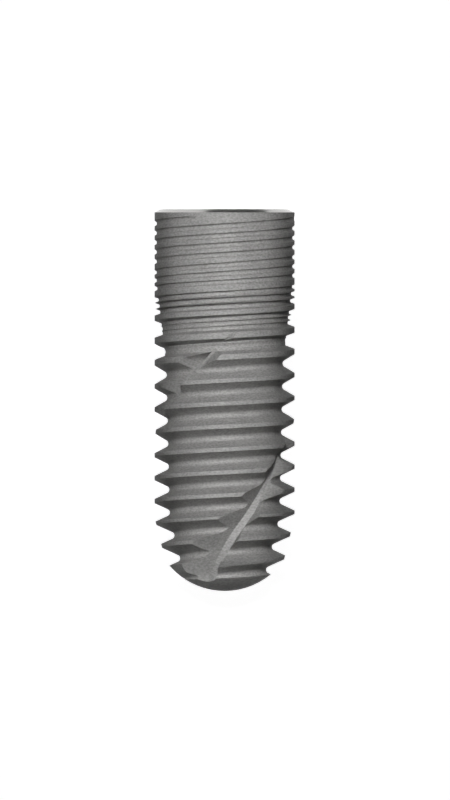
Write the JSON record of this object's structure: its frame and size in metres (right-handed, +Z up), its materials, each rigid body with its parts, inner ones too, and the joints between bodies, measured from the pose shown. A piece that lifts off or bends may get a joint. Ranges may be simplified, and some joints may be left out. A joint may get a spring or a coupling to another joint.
{
  "type": "dental implant",
  "caption": "Bone-level dental implant fixture: tapered titanium screw with collar micro-thread, round-rooted body thread, spiral cutting flutes, domed apex and internal hex socket.",
  "frame": {"origin": "centre of the bounding box's underside, on the surface that the fixture lies on", "axes": "the fixture lies on its thread crests with its axis along Y: +Y towards the platform, -Y towards the domed apex, +Z up"},
  "size_m": [0.0042, 0.0114, 0.0042],
  "materials": {
    "titanium": "grit-blasted and acid-etched titanium, matt grey, with a bright machined bevel round the platform"
  },
  "bodies": {
    "root": {"implant_fixture": "titanium"}
  },
  "joints": []
}
